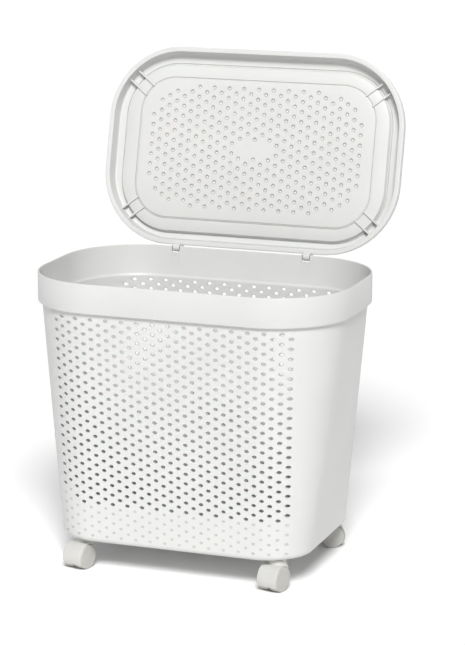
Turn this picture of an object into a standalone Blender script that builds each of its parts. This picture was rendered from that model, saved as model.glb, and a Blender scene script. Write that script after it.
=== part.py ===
"""Laundry hamper with a hinged lid and four twin-wheel casters.

Metres, +Z up, +X to the right, +Y to the back. The origin is on the floor, under the middle of the
whole object with its lid leaning back.
"""
import math

import bmesh
import bpy
from mathutils import Matrix, Vector

MM = 0.001

# ---------------------------------------------------------------- driving dimensions
TUB_Y = -51.2 * MM              # the tub's own middle, from the origin

RIM_WIDTH = 478.0 * MM          # outside the collar
RIM_DEPTH = 308.0 * MM
RIM_RADIUS = 114.0 * MM
RIM_Z = 437.0 * MM
BASE_Z = 46.0 * MM              # underside of the tub
BASE_RADIUS = 64.0 * MM
END_TAPER = 40.0 * MM           # how far each end wall leans in, from collar to base
SIDE_TAPER = 12.0 * MM          # the same for the front and back walls
COLLAR_HEIGHT = 43.5 * MM
COLLAR_STEP = 6.0 * MM          # the collar stands this far proud of the body
COLLAR_UNDER = 1.2 * MM         # the collar's underside meets the body this much below its edge
COLLAR_THICK = 6.8 * MM         # the collar at its foot; its inside leans in from the rim
WALL = 2.6 * MM
FLOOR = 3.2 * MM
EDGE = 8.0 * MM                 # rounding along the base
RIM_ROUND = 1.0 * MM            # rounding along the rim's two edges
RIM_ROUND_IN = 0.7 * MM
COLLAR_EASE = 0.8 * MM          # rounding along the collar's lower edge

LID_INSET = 1.5 * MM            # the lid's edge, in from the collar's outside
LID_GAP = 0.5 * MM              # closed lid above the rim
LID_WALL = 2.5 * MM
LIP = 7.5 * MM                  # width of the flat lip round the lid's free edge
LID_EDGE_TOP = 20.5 * MM        # heights above the rim, closed
LID_RING_TOP = 14.5 * MM
LID_PANEL_TOP = 13.0 * MM
LID_ROUND = 5.5 * MM
SKIRT_LEAN = 2.5 * MM           # the skirt's inside leans in by this much up to its fillet
LID_FILLET = 3.0 * MM           # along the channel's floor
LID_RING_HALF = (209.5 * MM, 125.5 * MM, 78.0 * MM)     # half width, half depth, corner radius
LID_PANEL_HALF = (186.0 * MM, 105.0 * MM, 51.0 * MM)
LID_BACK = 3.0 * MM             # ring and panel sit this far back of the lid's own middle
RING_STEP = 3.0 * MM            # how far the steps down to the ring and to the panel lean
PANEL_STEP = 2.0 * MM
RIB_THICK = 1.6 * MM
RIB_LOW = 9.5 * MM              # lower edge of the corner ribs, above the rim
RIB_PITCH = 19.0 * MM
RIB_DEG = 38.0                  # direction of a corner's two ribs, from the lid's long axis
LID_EDGE_LEAN = 1.0 * MM        # the skirt leans in by this much up to its rounding

HINGE_X = 105.0 * MM
HINGE_OUT = 3.2 * MM            # hinge line, behind the collar
HINGE_DROP = 3.5 * MM           # hinge line, below the rim
HINGE_PIN_R = 2.0 * MM
HINGE_EAR_R = 3.9 * MM
HINGE_EAR = 3.0 * MM
HOOK_WIDTH = 10.0 * MM
HOOK_R = 6.2 * MM
HOOK_BORE_R = 2.35 * MM
HOOK_MOUTH = 3.4 * MM
HOOK_ARM_TOP = 9.5 * MM         # above the rim, closed
NOTCH_WIDTH = 13.0 * MM
NOTCH_DEPTH = 10.4 * MM
LID_OPEN_DEG = 104.5            # from closed to leaning back on its stop
ARM_THICK = 2.5 * MM
ARM_ROOT = 1.5 * MM             # how far a hook's arm reaches into the skirt
TO_HINGE = Vector((0, -(RIM_DEPTH / 2 + HINGE_OUT), HINGE_DROP))    # from the rim's middle

STEM_X = 152.0 * MM
STEM_Y = 108.0 * MM
STEM_R = 4.0 * MM
STEM_TOP = 67.0 * MM
STEM_FOOT = 38.5 * MM
STEM_CHAMFER = 1.5 * MM
GROOVE_R = 3.1 * MM
GROOVE_Z = (59.5 * MM, 62.5 * MM)
BOSS_R = 11.0 * MM
BOSS_TOP = 72.0 * MM
BOSS_BORE_R = 6.8 * MM
BOSS_BORE_TOP = 69.0 * MM
SOCKET_R = 6.5 * MM
SOCKET_BORE_R = 4.9 * MM
FIT = 0.3 * MM                  # gap between neighbouring pieces
RING_GAP = 2.4 * MM             # the grip ring's own slit

WHEEL_R = 18.5 * MM
WHEEL_INNER = 2.4 * MM          # inner and outer faces of a wheel, from the caster's middle
WHEEL_OUTER = 17.2 * MM
WHEEL_ROUND = 2.0 * MM
WHEEL_DISH = 0.8 * MM
DISH_RIM = 0.7                  # outer and inner edge of the dish's slope, as shares of the wheel's radius
DISH_FLOOR = 0.6
AXLE_R = 2.0 * MM
AXLE_HALF = 14.0 * MM
AXLE_TRAIL = 10.0 * MM          # axle, out from the stem
WEB_HALF = 2.0 * MM
HOOD_R = 20.4 * MM
HOOD_CAVITY_R = 19.0 * MM
HOOD_HALF = 16.0 * MM
HOOD_CUT_DEG = 30.0             # direction of the hood's open side, back from straight down
HOOD_CUT = 7.0 * MM
TURRET_R = 11.5 * MM
TURRET_TOP = 45.3 * MM
TURRET_FOOT = 33.0 * MM
TURRET_FOOT_R = 14.5 * MM
TURRET_BORE = 38.0 * MM

# corner of the tub, and the way its caster points at rest (degrees about +Z)
CASTERS = {
    "caster_front_left": (-1, -1, 166.0),
    "caster_front_right": (1, -1, 166.0),
    "caster_back_right": (1, 1, 295.0),
    "caster_back_left": (-1, 1, 215.0),
}

CORNER_STEPS = 8
ROUND_STEPS = 24
HOOD_STEPS = 32
SMALL_STEPS = 16
EAR_STEPS = 8
LID_ROUND_STEPS = 3
WHEEL_ROUND_STEPS = 3
HOOK_STEPS = 16
HOOK_STEP_DEG = 15.0

LOOKS = {
    "white_plastic": ((0.86, 0.87, 0.86), 0.35, 0.0),
    "caster_plastic": ((0.83, 0.82, 0.79), 0.35, 0.0),
    "steel": ((0.62, 0.62, 0.63), 0.3, 1.0),
}


# ---------------------------------------------------------------- tools
def clear_scene():
    for obj in list(bpy.data.objects):
        bpy.data.objects.remove(obj, do_unlink=True)


def new_collection(name):
    collection = bpy.data.collections.new(name)
    bpy.context.scene.collection.children.link(collection)
    return collection


def make_material(name):
    colour, roughness, metallic = LOOKS[name]
    material = bpy.data.materials.new(name)
    material.use_nodes = True
    shader = material.node_tree.nodes["Principled BSDF"]
    shader.inputs["Base Color"].default_value = (*colour, 1.0)
    shader.inputs["Roughness"].default_value = roughness
    shader.inputs["Metallic"].default_value = metallic
    return material


def add_object(name, mesh, material, parent, smooth=True):
    """Put a mesh in the part's collection, under an empty."""
    obj = bpy.data.objects.new(name, mesh)
    PARTS.objects.link(obj)
    obj.parent = parent
    mesh.materials.append(MATERIALS[material])
    if smooth:
        mesh.shade_smooth()
        mesh.set_sharp_from_angle(angle=math.radians(35))
    return obj


def add_empty(name, location, parent=None, turn=0.0, axis="Z"):
    empty = bpy.data.objects.new(name, None)
    PARTS.objects.link(empty)
    empty.parent = parent
    empty.location = location
    empty.rotation_euler["XYZ".index(axis)] = math.radians(turn)
    return empty


def mesh_from(bm, name):
    mesh = bpy.data.meshes.new(name)
    bmesh.ops.recalc_face_normals(bm, faces=bm.faces)
    bm.to_mesh(mesh)
    bm.free()
    return mesh


def rounded_rectangle(half_width, half_depth, radius, z):
    """Points of a rounded rectangle, counter-clockwise seen from above."""
    points = []
    for corner, (sx, sy) in enumerate(((1, -1), (1, 1), (-1, 1), (-1, -1))):
        centre = Vector((sx * (half_width - radius), sy * (half_depth - radius), z))
        for step in range(CORNER_STEPS + 1):
            angle = math.radians(90 * (corner - 1) + 90 * step / CORNER_STEPS)
            points.append(centre + Vector((radius * math.cos(angle), radius * math.sin(angle), 0)))
    return points


def loft_mesh(name, rings):
    """A closed body through a chain of like rings, with its first and last ring filled."""
    bm = bmesh.new()
    loops = [[bm.verts.new(point) for point in ring] for ring in rings]
    for lower, upper in zip(loops, loops[1:]):
        count = len(lower)
        for i in range(count):
            j = (i + 1) % count
            bm.faces.new((lower[i], lower[j], upper[j], upper[i]))
    bm.faces.new(reversed(loops[0]))
    bm.faces.new(loops[-1])
    return mesh_from(bm, name)


def box_mesh(name, low, high):
    bm = bmesh.new()
    bmesh.ops.create_cube(bm, size=1.0)
    low, high = Vector(low), Vector(high)
    for vert in bm.verts:
        vert.co = (low + high) / 2 + Vector(a * b for a, b in zip(vert.co, high - low))
    return mesh_from(bm, name)


def cylinder_mesh(name, radius, start, end, axis="Z", centre=(0, 0), end_radius=None,
                  steps=ROUND_STEPS):
    """A cylinder or cone from start to end along an axis; centre is on the other two axes, in order."""
    bm = bmesh.new()
    bmesh.ops.create_cone(bm, cap_ends=True, segments=steps, radius1=radius, depth=end - start,
                          radius2=radius if end_radius is None else end_radius)
    middle = (start + end) / 2
    if axis == "X":
        place = Matrix.Translation((middle, *centre)) @ Matrix.Rotation(math.pi / 2, 4, "Y")
    else:
        place = Matrix.Translation((*centre, middle))
    bmesh.ops.transform(bm, matrix=place, verts=bm.verts)
    return mesh_from(bm, name)


def turned_mesh(name, profile, closed=True, steps=ROUND_STEPS):
    """An outline of (radius, height) points turned about Z; an open one starts and ends on Z."""
    bm = bmesh.new()
    verts = [bm.verts.new((radius, 0, height)) for radius, height in profile]
    ends = verts[1:] + verts[:1] if closed else verts[1:]
    edges = [bm.edges.new(pair) for pair in zip(verts, ends)]
    bmesh.ops.spin(bm, geom=verts + edges, axis=(0, 0, 1), cent=(0, 0, 0), angle=math.tau,
                   steps=steps, use_merge=True)
    bmesh.ops.remove_doubles(bm, verts=bm.verts, dist=1e-6)
    return mesh_from(bm, name)


def extruded_mesh(name, outline, start, end):
    """A flat outline of (y, z) points at x = start, drawn out along X to end."""
    bm = bmesh.new()
    face = bm.faces.new([bm.verts.new((start, *point)) for point in outline])
    moved = bmesh.ops.extrude_face_region(bm, geom=[face])["geom"]
    far = [item for item in moved if isinstance(item, bmesh.types.BMVert)]
    bmesh.ops.translate(bm, vec=(end - start, 0, 0), verts=far)
    return mesh_from(bm, name)


def tool(name, mesh, parent=None):
    """A hidden shape that cuts or joins another."""
    obj = bpy.data.objects.new(name, mesh)
    CUTTERS.objects.link(obj)
    obj.parent = parent
    obj.hide_render = True
    obj.display_type = "WIRE"
    return obj


def boolean(obj, other, operation):
    modifier = obj.modifiers.new(f"{operation.lower()}_{other.name}", "BOOLEAN")
    modifier.operation = operation
    modifier.object = other
    modifier.solver = "EXACT"


def cut(obj, name, mesh):
    boolean(obj, tool(name, mesh, obj.parent), "DIFFERENCE")


def join(obj, name, mesh):
    boolean(obj, tool(name, mesh, obj.parent), "UNION")


# ---------------------------------------------------------------- tub
def tub_section(inset, z):
    """The tub's outline, drawn in from the collar's outside and along the taper below the collar."""
    collar_foot = RIM_Z - COLLAR_HEIGHT
    part = min(1.0, max(0.0, (collar_foot - z) / (collar_foot - BASE_Z)))
    half_width = RIM_WIDTH / 2 - inset - END_TAPER * part
    half_depth = RIM_DEPTH / 2 - inset - SIDE_TAPER * part
    radius = RIM_RADIUS + (BASE_RADIUS - RIM_RADIUS) * part - inset * (1 - part)
    return rounded_rectangle(half_width, half_depth, max(radius, EDGE), z)


def make_tub(root):
    collar_foot = RIM_Z - COLLAR_HEIGHT
    body = COLLAR_STEP
    inside = COLLAR_STEP + WALL
    round_in = EDGE * (1 - math.cos(math.pi / 4))
    rings = [
        tub_section(body + EDGE, BASE_Z),
        tub_section(body + round_in, BASE_Z + round_in),
        tub_section(body, BASE_Z + EDGE),
        tub_section(body, collar_foot - COLLAR_UNDER),
        tub_section(COLLAR_EASE, collar_foot),
        tub_section(0.0, collar_foot + COLLAR_EASE),
        tub_section(0.0, RIM_Z - RIM_ROUND),
        tub_section(RIM_ROUND_IN, RIM_Z),
        tub_section(WALL - RIM_ROUND_IN, RIM_Z),
        tub_section(WALL, RIM_Z - RIM_ROUND),
        tub_section(COLLAR_THICK, collar_foot),
        tub_section(inside, collar_foot - COLLAR_UNDER - WALL),
        tub_section(inside, BASE_Z + FLOOR + EDGE),
        tub_section(inside + round_in, BASE_Z + FLOOR + round_in),
        tub_section(inside + EDGE, BASE_Z + FLOOR),
    ]
    tub = add_object("tub", loft_mesh("tub", rings), "white_plastic", root)
    back = RIM_DEPTH / 2
    for side, x in (("left", -HINGE_X), ("right", HINGE_X)):
        notch = box_mesh("notch", (x - NOTCH_WIDTH / 2, back - 2 * WALL, RIM_Z - NOTCH_DEPTH),
                         (x + NOTCH_WIDTH / 2, back + WALL, RIM_Z + WALL))
        cut(tub, f"notch_{side}", notch)
        for ear, start in (("a", x - NOTCH_WIDTH / 2 - HINGE_EAR), ("b", x + NOTCH_WIDTH / 2)):
            join(tub, f"ear_{side}_{ear}", ear_mesh(start, start + HINGE_EAR))
        pin_half = NOTCH_WIDTH / 2 + HINGE_EAR / 2
        join(tub, f"pin_{side}", cylinder_mesh(
            "pin", HINGE_PIN_R, x - pin_half, x + pin_half, "X",
            (back + HINGE_OUT, RIM_Z - HINGE_DROP), steps=SMALL_STEPS))
    for name, (sx, sy, _) in CASTERS.items():
        centre = (sx * STEM_X, sy * STEM_Y)
        join(tub, f"boss_{name}", cylinder_mesh(
            "boss", BOSS_R, BASE_Z + FLOOR / 2, BOSS_TOP, centre=centre))
        cut(tub, f"bore_{name}", cylinder_mesh(
            "bore", BOSS_BORE_R, BASE_Z - FLOOR, BOSS_BORE_TOP, centre=centre))
    return tub


def ear_mesh(start, end):
    """A lug round the hinge line that reaches into the collar's back wall."""
    y, z = RIM_DEPTH / 2 + HINGE_OUT, RIM_Z - HINGE_DROP
    root = RIM_DEPTH / 2 - WALL / 2
    outline = [(root, z + HINGE_DROP - FIT), (root, z - HINGE_EAR_R - HINGE_OUT)]
    for step in range(EAR_STEPS + 1):
        angle = math.radians(-90 + 180 * step / EAR_STEPS)
        outline.append((y + HINGE_EAR_R * math.cos(angle),
                        z + min(HINGE_EAR_R * math.sin(angle), HINGE_DROP - FIT)))
    return extruded_mesh("ear", outline, start, end)


# ---------------------------------------------------------------- lid
def lid_ring(half, z, back=0.0):
    """A ring of the closed lid at a height above the rim, in the hinge line's frame."""
    middle = TO_HINGE + Vector((0, back, 0))
    return [point + middle for point in rounded_rectangle(*half, z)]


def lid_half(inset):
    return (RIM_WIDTH / 2 - inset, RIM_DEPTH / 2 - inset, RIM_RADIUS - inset)


def grown(half, amount):
    return tuple(size + amount for size in half)


def make_lid(root):
    hinge = (0, RIM_DEPTH / 2 + HINGE_OUT, RIM_Z - HINGE_DROP)
    pivot = add_empty("lid_pivot", hinge, root, -LID_OPEN_DEG, "X")
    edge = LID_INSET + LID_EDGE_LEAN
    skin = LID_WALL
    turns = [math.radians(90 * step / LID_ROUND_STEPS) for step in range(LID_ROUND_STEPS + 1)]
    # outside, from the free edge up and in to the panel
    outside = [lid_ring(lid_half(LID_INSET + LIP), LID_GAP), lid_ring(lid_half(LID_INSET), LID_GAP)]
    outside += [lid_ring(lid_half(edge + LID_ROUND * (1 - math.cos(turn))),
                         LID_EDGE_TOP - LID_ROUND * (1 - math.sin(turn))) for turn in turns]
    outside += [
        lid_ring(grown(LID_RING_HALF, RING_STEP), LID_EDGE_TOP, LID_BACK),
        lid_ring(LID_RING_HALF, LID_RING_TOP, LID_BACK),
        lid_ring(grown(LID_PANEL_HALF, PANEL_STEP), LID_RING_TOP, LID_BACK),
        lid_ring(LID_PANEL_HALF, LID_PANEL_TOP, LID_BACK),
    ]
    # inside, from the panel out and down to the free edge
    inside = [
        lid_ring(grown(LID_PANEL_HALF, PANEL_STEP / 2), LID_PANEL_TOP - skin, LID_BACK),
        lid_ring(grown(LID_PANEL_HALF, PANEL_STEP * 1.5), LID_RING_TOP - skin, LID_BACK),
        lid_ring(grown(LID_RING_HALF, RING_STEP / 2), LID_RING_TOP - skin, LID_BACK),
        lid_ring(grown(LID_RING_HALF, RING_STEP * 1.5), LID_EDGE_TOP - skin, LID_BACK),
    ]
    foot = LID_INSET + LIP + SKIRT_LEAN
    inside += [lid_ring(lid_half(foot + LID_FILLET * (1 - math.cos(turn))),
                        LID_EDGE_TOP - skin - LID_FILLET * (1 - math.sin(turn)))
               for turn in reversed(turns)]
    # the chain starts and ends at the panel, so that its two filled ends are the panel's faces
    lid = add_object("lid", loft_mesh("lid", outside[::-1] + inside[::-1]), "white_plastic", pivot)
    for index, (sx, sy) in enumerate(((1, 1), (1, -1), (-1, 1), (-1, -1))):
        for side, offset in (("a", -RIB_PITCH / 2), ("b", RIB_PITCH / 2)):
            join(lid, f"rib_{index}_{side}", rib_mesh(sx, sy, offset))
    for side, x in (("left", -HINGE_X), ("right", HINGE_X)):
        join(lid, f"hook_{side}", hook_mesh(x))
        cut(lid, f"hook_bore_{side}", cylinder_mesh(
            "hook_bore", HOOK_BORE_R, x - HOOK_WIDTH, x + HOOK_WIDTH, "X"))
        cut(lid, f"hook_mouth_{side}", box_mesh(
            "hook_mouth", (x - HOOK_WIDTH, 0, -HOOK_MOUTH / 2),
            (x + HOOK_WIDTH, 2 * HOOK_R, HOOK_MOUTH / 2)))
    return lid


def reach(start, outward, half, back=0.0):
    """Distance along outward from start to the corner arc of a rounded rectangle's outline."""
    centre = Vector((half[0] - half[2], half[1] - half[2] + back, 0))
    along = (start - centre).dot(outward)
    aside = (start - centre).dot(Vector((-outward.y, outward.x, 0)))
    return math.sqrt(half[2] ** 2 - aside ** 2) - along


def rib_mesh(sx, sy, offset):
    """A short upright rib from the panel's corner, over the ring and the channel, to the lid's skirt."""
    outward = Vector((math.cos(math.radians(RIB_DEG)), math.sin(math.radians(RIB_DEG)), 0))
    across = Vector((-outward.y, outward.x, 0))
    back = sy * LID_BACK
    panel_x, panel_y, panel_r = LID_PANEL_HALF
    corner = Vector((panel_x - panel_r, panel_y - panel_r + back, 0))
    start = corner + outward * (panel_r + PANEL_STEP) + across * offset
    # the upper side runs inside the lid's own thickness, and the far end inside its skirt
    half_skin = LID_WALL / 2
    step_foot = reach(start, outward, grown(LID_RING_HALF, RING_STEP * 0.25), back)
    step_head = reach(start, outward, grown(LID_RING_HALF, RING_STEP * 1.25), back)
    far = reach(start, outward, lid_half(LID_INSET + LIP - half_skin))
    outline = [
        (step_foot, LID_RING_TOP - half_skin), (0, LID_RING_TOP - half_skin), (0, RIB_LOW),
        (far, RIB_LOW), (far, LID_EDGE_TOP - half_skin), (step_head, LID_EDGE_TOP - half_skin),
    ]
    mesh = extruded_mesh("rib", outline, -RIB_THICK / 2, RIB_THICK / 2)
    # the outline was drawn out along X, so its own directions (Y, Z) turn to (outward, up)
    turn = Matrix.Translation(start) @ Matrix.Rotation(math.radians(RIB_DEG - 90), 4, "Z")
    mesh.transform(Matrix.Translation(TO_HINGE) @ Matrix.Diagonal((sx, sy, 1, 1)) @ turn)
    if sx * sy < 0:
        mesh.flip_normals()
    return mesh


def hook_mesh(x):
    """A ring round the hinge line with an arm up to the lid's back skirt, closed position."""
    arm_top = HINGE_DROP + HOOK_ARM_TOP
    skirt_in = -(HINGE_OUT + LID_INSET + ARM_ROOT)
    turns = [math.radians(-180 + HOOK_STEP_DEG * step) for step in range(HOOK_STEPS + 1)]
    outline = [(HOOK_R * math.cos(turn), HOOK_R * math.sin(turn)) for turn in turns]
    outline += [(skirt_in + ARM_THICK, arm_top), (skirt_in, arm_top), (-HOOK_R, LID_GAP + HINGE_DROP)]
    return extruded_mesh("hook", outline, x - HOOK_WIDTH / 2, x + HOOK_WIDTH / 2)


# ---------------------------------------------------------------- casters
def make_caster(name, sx, sy, turn, root):
    """One twin-wheel caster. Its own frame has the stem at the origin and the axle along X."""
    fixed = add_empty(f"{name}_seat", (sx * STEM_X, sy * STEM_Y, 0), root)
    stem_axis = add_empty(f"{name}_swivel", (sx * STEM_X, sy * STEM_Y, 0), root, turn)
    axle_axis = add_empty(f"{name}_axle_axis", (0, AXLE_TRAIL, WHEEL_R), stem_axis)

    add_object(f"{name}_socket", turned_mesh("socket", [
        (SOCKET_BORE_R, BASE_Z + FIT), (SOCKET_R, BASE_Z + FIT),
        (SOCKET_R, BOSS_BORE_TOP - FIT), (SOCKET_BORE_R, BOSS_BORE_TOP - FIT),
    ]), "caster_plastic", fixed)
    add_object(f"{name}_stem", turned_mesh("stem", [
        (0, STEM_FOOT), (STEM_R, STEM_FOOT), (STEM_R, GROOVE_Z[0]), (GROOVE_R, GROOVE_Z[0]),
        (GROOVE_R, GROOVE_Z[1]), (STEM_R, GROOVE_Z[1]), (STEM_R, STEM_TOP - STEM_CHAMFER),
        (STEM_R - STEM_CHAMFER, STEM_TOP), (0, STEM_TOP),
    ], closed=False, steps=SMALL_STEPS), "steel", stem_axis)
    ring = add_object(f"{name}_grip_ring", turned_mesh("grip_ring", [
        (GROOVE_R + FIT, GROOVE_Z[0] + FIT), (SOCKET_BORE_R - FIT, GROOVE_Z[0] + FIT),
        (SOCKET_BORE_R - FIT, GROOVE_Z[1] - FIT), (GROOVE_R + FIT, GROOVE_Z[1] - FIT),
    ]), "steel", stem_axis)
    cut(ring, f"{name}_ring_gap", box_mesh(
        "ring_gap", (-RING_GAP / 2, 0, GROOVE_Z[0]), (RING_GAP / 2, STEM_R * 2, GROOVE_Z[1])))

    make_hood(name, stem_axis)
    add_object(f"{name}_axle", cylinder_mesh(
        "axle", AXLE_R, -AXLE_HALF, AXLE_HALF, "X", steps=SMALL_STEPS), "steel", axle_axis)
    for side, way in (("left", -1), ("right", 1)):
        wheel = add_object(f"{name}_wheel_{side}", wheel_mesh(), "caster_plastic", axle_axis)
        wheel.rotation_euler = (0, math.radians(90 * way), 0)


def make_hood(name, stem_axis):
    """The housing: a barrel over both wheels, a web between them and a turret round the stem."""
    centre = (AXLE_TRAIL, WHEEL_R)
    hood = add_object(f"{name}_hood", cylinder_mesh(
        "hood", HOOD_R, -HOOD_HALF, HOOD_HALF, "X", centre, steps=HOOD_STEPS),
        "caster_plastic", stem_axis)
    join(hood, f"{name}_turret", cylinder_mesh(
        "turret", TURRET_FOOT_R, TURRET_FOOT, TURRET_TOP, end_radius=TURRET_R))
    for side, way in (("left", -1), ("right", 1)):
        ends = sorted((way * WEB_HALF, way * 2 * HOOD_HALF))
        cut(hood, f"{name}_cavity_{side}", cylinder_mesh(
            "cavity", HOOD_CAVITY_R, *ends, "X", centre, steps=HOOD_STEPS))
    opening = box_mesh("opening", (-2 * HOOD_HALF, -2 * HOOD_R, -3 * HOOD_R),
                       (2 * HOOD_HALF, 2 * HOOD_R, -HOOD_CUT))
    turn = Matrix.Rotation(math.radians(-HOOD_CUT_DEG), 4, "X")
    opening.transform(Matrix.Translation((0, *centre)) @ turn)
    cut(hood, f"{name}_opening", opening)
    cut(hood, f"{name}_axle_bore", cylinder_mesh(
        "axle_bore", AXLE_R + FIT, -HOOD_HALF, HOOD_HALF, "X", centre, steps=SMALL_STEPS))
    cut(hood, f"{name}_stem_bore", cylinder_mesh(
        "stem_bore", STEM_R + FIT, TURRET_BORE, BASE_Z, steps=SMALL_STEPS))


def wheel_mesh():
    """A wheel turned about Z, with its bore open to the inside only and a dished outer face."""
    bore = AXLE_R + FIT
    blind = AXLE_HALF + FIT
    profile = [(0, blind), (bore, blind), (bore, WHEEL_INNER),
               (WHEEL_R - WHEEL_ROUND / 2, WHEEL_INNER), (WHEEL_R, WHEEL_INNER + WHEEL_ROUND / 2)]
    for step in range(WHEEL_ROUND_STEPS + 1):
        turn = math.radians(90 * step / WHEEL_ROUND_STEPS)
        profile.append((WHEEL_R - WHEEL_ROUND * (1 - math.cos(turn)),
                        WHEEL_OUTER - WHEEL_ROUND * (1 - math.sin(turn))))
    profile += [(WHEEL_R * DISH_RIM, WHEEL_OUTER), (WHEEL_R * DISH_FLOOR, WHEEL_OUTER - WHEEL_DISH),
                (0, WHEEL_OUTER - WHEEL_DISH)]
    return turned_mesh("wheel", profile, closed=False)


clear_scene()
PARTS = new_collection("laundry_hamper")
CUTTERS = new_collection("cutters")
MATERIALS = {name: make_material(name) for name in LOOKS}
hamper = add_empty("hamper", (0, TUB_Y, 0))
make_tub(hamper)
make_lid(hamper)
for caster, (side_x, side_y, rest_turn) in CASTERS.items():
    make_caster(caster, side_x, side_y, rest_turn, hamper)
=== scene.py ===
"""Looks of the laundry hamper: perforated tub and lid, twin-wheel casters, and the studio round them."""
import math

import bmesh
import bpy
from mathutils import Matrix, Vector
from mathutils.geometry import delaunay_2d_cdt


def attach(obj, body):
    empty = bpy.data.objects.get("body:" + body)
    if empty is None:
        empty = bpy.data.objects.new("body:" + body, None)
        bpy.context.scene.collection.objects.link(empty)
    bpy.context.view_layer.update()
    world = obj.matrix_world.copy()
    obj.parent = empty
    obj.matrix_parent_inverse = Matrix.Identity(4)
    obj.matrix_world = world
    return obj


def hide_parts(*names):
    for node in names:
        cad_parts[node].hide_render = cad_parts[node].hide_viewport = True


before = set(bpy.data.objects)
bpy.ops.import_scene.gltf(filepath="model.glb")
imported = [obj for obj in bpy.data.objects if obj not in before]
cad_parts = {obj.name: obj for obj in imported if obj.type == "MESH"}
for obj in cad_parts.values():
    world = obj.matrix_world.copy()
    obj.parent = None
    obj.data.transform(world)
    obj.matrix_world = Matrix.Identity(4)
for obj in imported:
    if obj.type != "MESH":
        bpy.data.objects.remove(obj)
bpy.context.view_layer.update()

MM = 0.001
SHARP_DEG = 32.0                # faces that meet at more than this show a crisp edge

# ---------------------------------------------------------------- tub
TUB_Y = -51.2 * MM              # the tub's middle
RIM_WIDTH = 478.0 * MM
RIM_DEPTH = 308.0 * MM
RIM_RADIUS = 114.0 * MM
RIM_Z = 437.0 * MM
BASE_Z = 46.0 * MM
BASE_RADIUS = 64.0 * MM
END_TAPER = 40.0 * MM
SIDE_TAPER = 12.0 * MM
COLLAR_FOOT = RIM_Z - 43.5 * MM
COLLAR_THICK = 6.8 * MM         # at its foot; the inside leans in from the rim
BODY = 6.0 * MM                 # the walls stand this far in from the collar's outside
WALL = 2.6 * MM
FLOOR = 3.2 * MM
EDGE_STEPS = 6

# rows of holes: columns and rows are counted in half pitches, and a hole sits where their sum is even
COLUMN = 12.0 * MM
ROW = 7.25 * MM
TOP_ROW_Z = 383.8 * MM
NARROWING = 0.1667              # share by which a column nears the middle, per metre down
LAST_COLUMN = 15
LAST_THROUGH_ROW = 38
LAST_DIMPLE_ROW = 45
LATTICE_TOP_Z = 388.3 * MM
LATTICE_FOOT_Z = 54.1 * MM
HOLE_HALF = (3.4 * MM, 2.45 * MM)
HOLE_POWER = 1.85               # 1 is a diamond and 2 an ellipse
HOLE_POINTS = 12
HOLE_CHAMFER = 0.4 * MM
BLIND_EARLY = ((-15, 37), (-14, 36), (-14, 38))     # (column, row) of dimples among the holes
DIMPLE_HALF = (2.4 * MM, 1.85 * MM)
DIMPLE_RIM = 0.4 * MM
DIMPLE_FLOOR = 0.5              # the flat floor, as a share of the dimple's size
DIMPLE_DEPTH = 0.5 * MM
CORNER_STEPS = 9
END_STEPS = 4

BOSS_R = 11.0 * MM
BOSS_TOP = 72.0 * MM
BOSS_BORE_R = 6.8 * MM
BOSS_BORE_TOP = 69.0 * MM
BOSS_FOOT = 2.0 * MM
STEM_X = 152.0 * MM
STEM_Y = 108.0 * MM
CIRCLE_STEPS = 40

# ---------------------------------------------------------------- lid
LID_INSET = 1.5 * MM
LID_GAP = 0.5 * MM
LID_WALL = 2.5 * MM
LIP = 7.5 * MM
LIP_ROUND = (1.5 * MM, 0.8 * MM)        # outer and inner edge
LID_EDGE_TOP = 20.5 * MM
LID_RING_TOP = 14.5 * MM
LID_PANEL_TOP = 13.0 * MM
LID_ROUND = 6.6 * MM
LID_EDGE_LEAN = 1.0 * MM
SKIRT_LEAN = 2.5 * MM
LID_FILLET = 3.0 * MM
LID_RING_HALF = (209.5 * MM, 125.5 * MM, 78.0 * MM)
LID_PANEL_HALF = (186.0 * MM, 105.0 * MM, 51.0 * MM)
LID_BACK = 3.0 * MM             # ring and panel sit this far back of the lid's own middle
RING_STEP = 3.0 * MM
PANEL_STEP = 2.0 * MM
GROOVE_WIDTH = 1.5 * MM         # each groove stands a quarter of this off its step
GROOVE_DEPTH = 0.8 * MM
LID_OPEN_DEG = 104.5
LID_ROW = 7.64 * MM
LID_HOLE_R = (1.2 * MM, 3.1 * MM)       # at the top and at the underside
LID_HOLE_EASE = 0.3 * MM
LID_LAST = (14, 12)             # columns and rows to each side of the middle
LID_TRIM = 22                   # the holes stay inside |column| + |row| of this
LID_SHIFT = -1.0 * MM           # the pattern's middle, from the lid's own
LID_BLANK = ((0, 0), (2, 0), (-2, 0), (1, 1), (1, -1), (-1, 1), (-1, -1))
LID_CORNER_STEPS = 20
RIB_THICK = 2.2 * MM
RIB_LOW = 9.5 * MM
RIB_BEVEL = 0.4 * MM
RIB_PITCH = 19.0 * MM
RIB_DEG = 38.0

HINGE_X = 105.0 * MM
HINGE = Vector((0, RIM_DEPTH / 2 + 3.2 * MM, RIM_Z - 3.5 * MM))
HINGE_PIN_R = 2.0 * MM
HINGE_EAR_R = 3.9 * MM
HINGE_EAR = 3.0 * MM
HOOK_WIDTH = 10.0 * MM
HOOK_R = 6.2 * MM
HOOK_BORE_R = 2.35 * MM
HOOK_MOUTH = 3.4 * MM
HOOK_ARM_TOP = 9.5 * MM
ARM_ROOT = 1.5 * MM
ARM_THICK = 2.5 * MM
NOTCH_WIDTH = 13.0 * MM
NOTCH_DEPTH = 10.4 * MM
FIT = 0.3 * MM

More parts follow.
